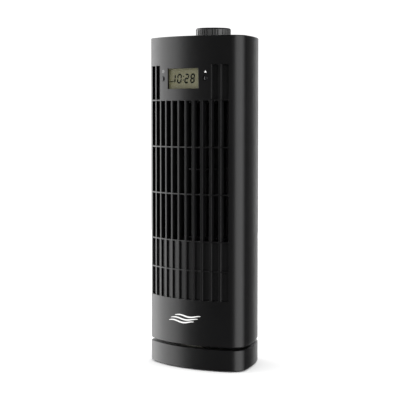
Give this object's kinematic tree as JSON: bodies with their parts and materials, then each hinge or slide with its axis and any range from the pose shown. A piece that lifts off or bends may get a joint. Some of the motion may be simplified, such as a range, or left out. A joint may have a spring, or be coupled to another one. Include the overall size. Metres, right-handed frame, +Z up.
{
  "type": "tower fan",
  "caption": "Desktop oscillating tower fan: bowed grille housing with a built-in clock, a top selector knob and a low swivel base.",
  "frame": {"origin": "on the swivel axis at the plane of the feet's soles, which is the centre of the footprint", "axes": "+Z up along the swivel axis, the grille and clock face -Y, +X is to the right as seen from the front"},
  "size_m": [0.1154, 0.095, 0.3322],
  "materials": {
    "black_casing": "satin black moulded plastic",
    "dark_plastic": "plain dark moulded plastic",
    "knob_plastic": "satin, fluted rim",
    "button_plastic": "polished",
    "white_plastic": "natural nylon",
    "green_plastic": "moulded switch case",
    "circuit_board": "lacquered board",
    "wire_red": "insulated lead",
    "foot_rubber": "matt rubber",
    "steel": "plated",
    "aluminium": "cast and turned",
    "bronze": "sintered bearing bronze",
    "copper": "enamelled winding wire",
    "window": "clear",
    "lcd_glass": "olive liquid crystal glass"
  },
  "bodies": {
    "base": {"base_shell": "black_casing", "base_plate": "dark_plastic", "base_screws": "steel", "rubber_feet": "foot_rubber", "cord_gland": "dark_plastic", "crank_guide": "steel", "slip_washer_upper": "white_plastic", "slip_washer_lower": "white_plastic"},
    "tower": {"tower_floor": "black_casing", "floor_screws": "steel", "retaining_ring": "steel", "retaining_screws": "steel", "oscillation_motor": "steel", "oscillation_motor_screws": "steel", "front_grille_shell": "black_casing", "rear_shell": "black_casing", "shell_screws": "steel", "top_cover": "black_casing", "duct_floor": "dark_plastic", "duct_roof": "dark_plastic", "scroll_wall": "dark_plastic", "tongue_wall": "dark_plastic", "motor_stator": "steel", "motor_bobbin": "white_plastic", "motor_winding": "copper", "motor_bracket_lower": "aluminium", "motor_bracket_upper": "aluminium", "motor_bearings": "bronze", "motor_bolts": "steel", "top_bearing": "bronze", "top_bearing_mount": "dark_plastic", "clock_lens": "window", "clock_display": "lcd_glass", "clock_holder": "white_plastic", "clock_board": "circuit_board", "clock_screws": "steel", "tact_switches": "dark_plastic", "clock_cell": "steel", "cell_clip": "steel", "switch_body": "green_plastic", "switch_nut": "steel", "wiring_lead": "wire_red"},
    "blower": {"blower_wheel": "dark_plastic", "wheel_stub": "steel", "motor_shaft": "steel", "motor_rotor": "aluminium"},
    "crank": {"crank_disc": "white_plastic", "crank_pin": "steel"},
    "selector": {"knob": "knob_plastic", "switch_shaft": "steel"},
    "set_key": {"set_button": "button_plastic"},
    "adjust_key": {"adjust_button": "button_plastic"}
  },
  "joints": [
    {"name": "oscillation", "type": "hinge", "parent": "base", "child": "tower", "pos_m": [0, 0, 0.0211], "axis": [0, 0, 1], "range_deg": [-30, 30]},
    {"name": "crank_spin", "type": "hinge", "parent": "tower", "child": "crank", "pos_m": [0, 0.0145, 0.018], "axis": [0, 0, 1], "range_deg": [-101, 101]},
    {"name": "wheel_spin", "type": "hinge", "parent": "tower", "child": "blower", "pos_m": [0, 0, 0.15], "axis": [0, 0, 1], "continuous": true},
    {"name": "knob_turn", "type": "hinge", "parent": "tower", "child": "selector", "pos_m": [0, 0, 0.3277], "axis": [0, 0, -1], "range_deg": [0, 180]},
    {"name": "set_press", "type": "slide", "parent": "tower", "child": "set_key", "axis": [0, 1, 0], "range_m": [0, 0.0006], "stiffness_N_per_m": 800, "springref_m": -0.0002},
    {"name": "adjust_press", "type": "slide", "parent": "tower", "child": "adjust_key", "axis": [0, 1, 0], "range_m": [0, 0.0006], "stiffness_N_per_m": 800, "springref_m": -0.0002}
  ],
  "couplings": [
    {"joint": "crank_spin", "follows": "oscillation", "ratio": -3.35}
  ]
}
